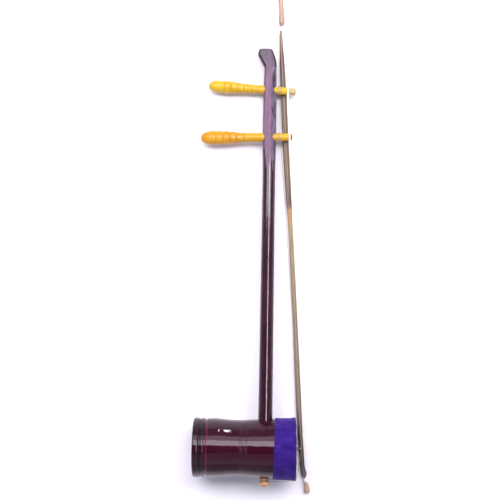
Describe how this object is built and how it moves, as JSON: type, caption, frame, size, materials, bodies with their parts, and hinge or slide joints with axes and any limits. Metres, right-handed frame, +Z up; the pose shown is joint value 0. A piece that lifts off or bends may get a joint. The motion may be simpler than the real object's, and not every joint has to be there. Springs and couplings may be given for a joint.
{
  "type": "two-stringed bowed fiddle",
  "caption": "Small spike fiddle with a turned round sound body, skin face, long neck, cross-set tuning pegs and a separate bow lying beside it.",
  "frame": {"origin": "on the surface that the fiddle and its bow lie on, under the middle of their joint outline", "axes": "+Y up the neck towards the head, +X towards the skin face and the bow, +Z up from the surface"},
  "size_m": [0.1504, 0.647, 0.0781],
  "materials": {
    "neck_lacquer": "glossy dark red-brown lacquer",
    "body_lacquer": "glossy dark maroon lacquer",
    "snakeskin": "dry scaled skin, satin",
    "band_cloth": "short-pile velvet",
    "bare_wood": "pale bare wood, matte",
    "dark_wood": "dark oiled wood",
    "string_steel": "plain steel wire",
    "peg_lacquer": "yellow lacquered turned wood",
    "bamboo": "aged bamboo cane, scorched at the bend",
    "bow_hair": "white hair, soft sheen",
    "binding_thread": "white thread"
  },
  "bodies": {
    "fiddle": {"neck": "neck_lacquer", "sound_body": "body_lacquer", "snakeskin": "snakeskin", "cloth_band": "band_cloth", "tail_knob": "bare_wood", "bridge": "dark_wood", "inner_string": "string_steel", "outer_string": "string_steel"},
    "upper_peg": {"upper_peg": "peg_lacquer", "inner_string_winding": "string_steel"},
    "lower_peg": {"lower_peg": "peg_lacquer", "outer_string_winding": "string_steel"},
    "bow": {"bow_stick": "bamboo", "bow_hair": "bow_hair", "bow_tip_binding": "binding_thread", "bow_heel_binding": "binding_thread"}
  },
  "joints": [
    {"name": "upper_peg_turn", "type": "hinge", "parent": "fiddle", "child": "upper_peg", "pos_m": [0.01546, 0.1983, 0.01222], "axis": [0.998, -0.06, 0.0193], "continuous": true},
    {"name": "lower_peg_turn", "type": "hinge", "parent": "fiddle", "child": "lower_peg", "pos_m": [0.01546, 0.1369, 0.01575], "axis": [0.9997, 0.0218, 0.0147], "continuous": true},
    {"name": "bow_lift_off", "type": "slide", "parent": "fiddle", "child": "bow", "axis": [1, 0, 0], "range_m": [0, 0.08]}
  ]
}
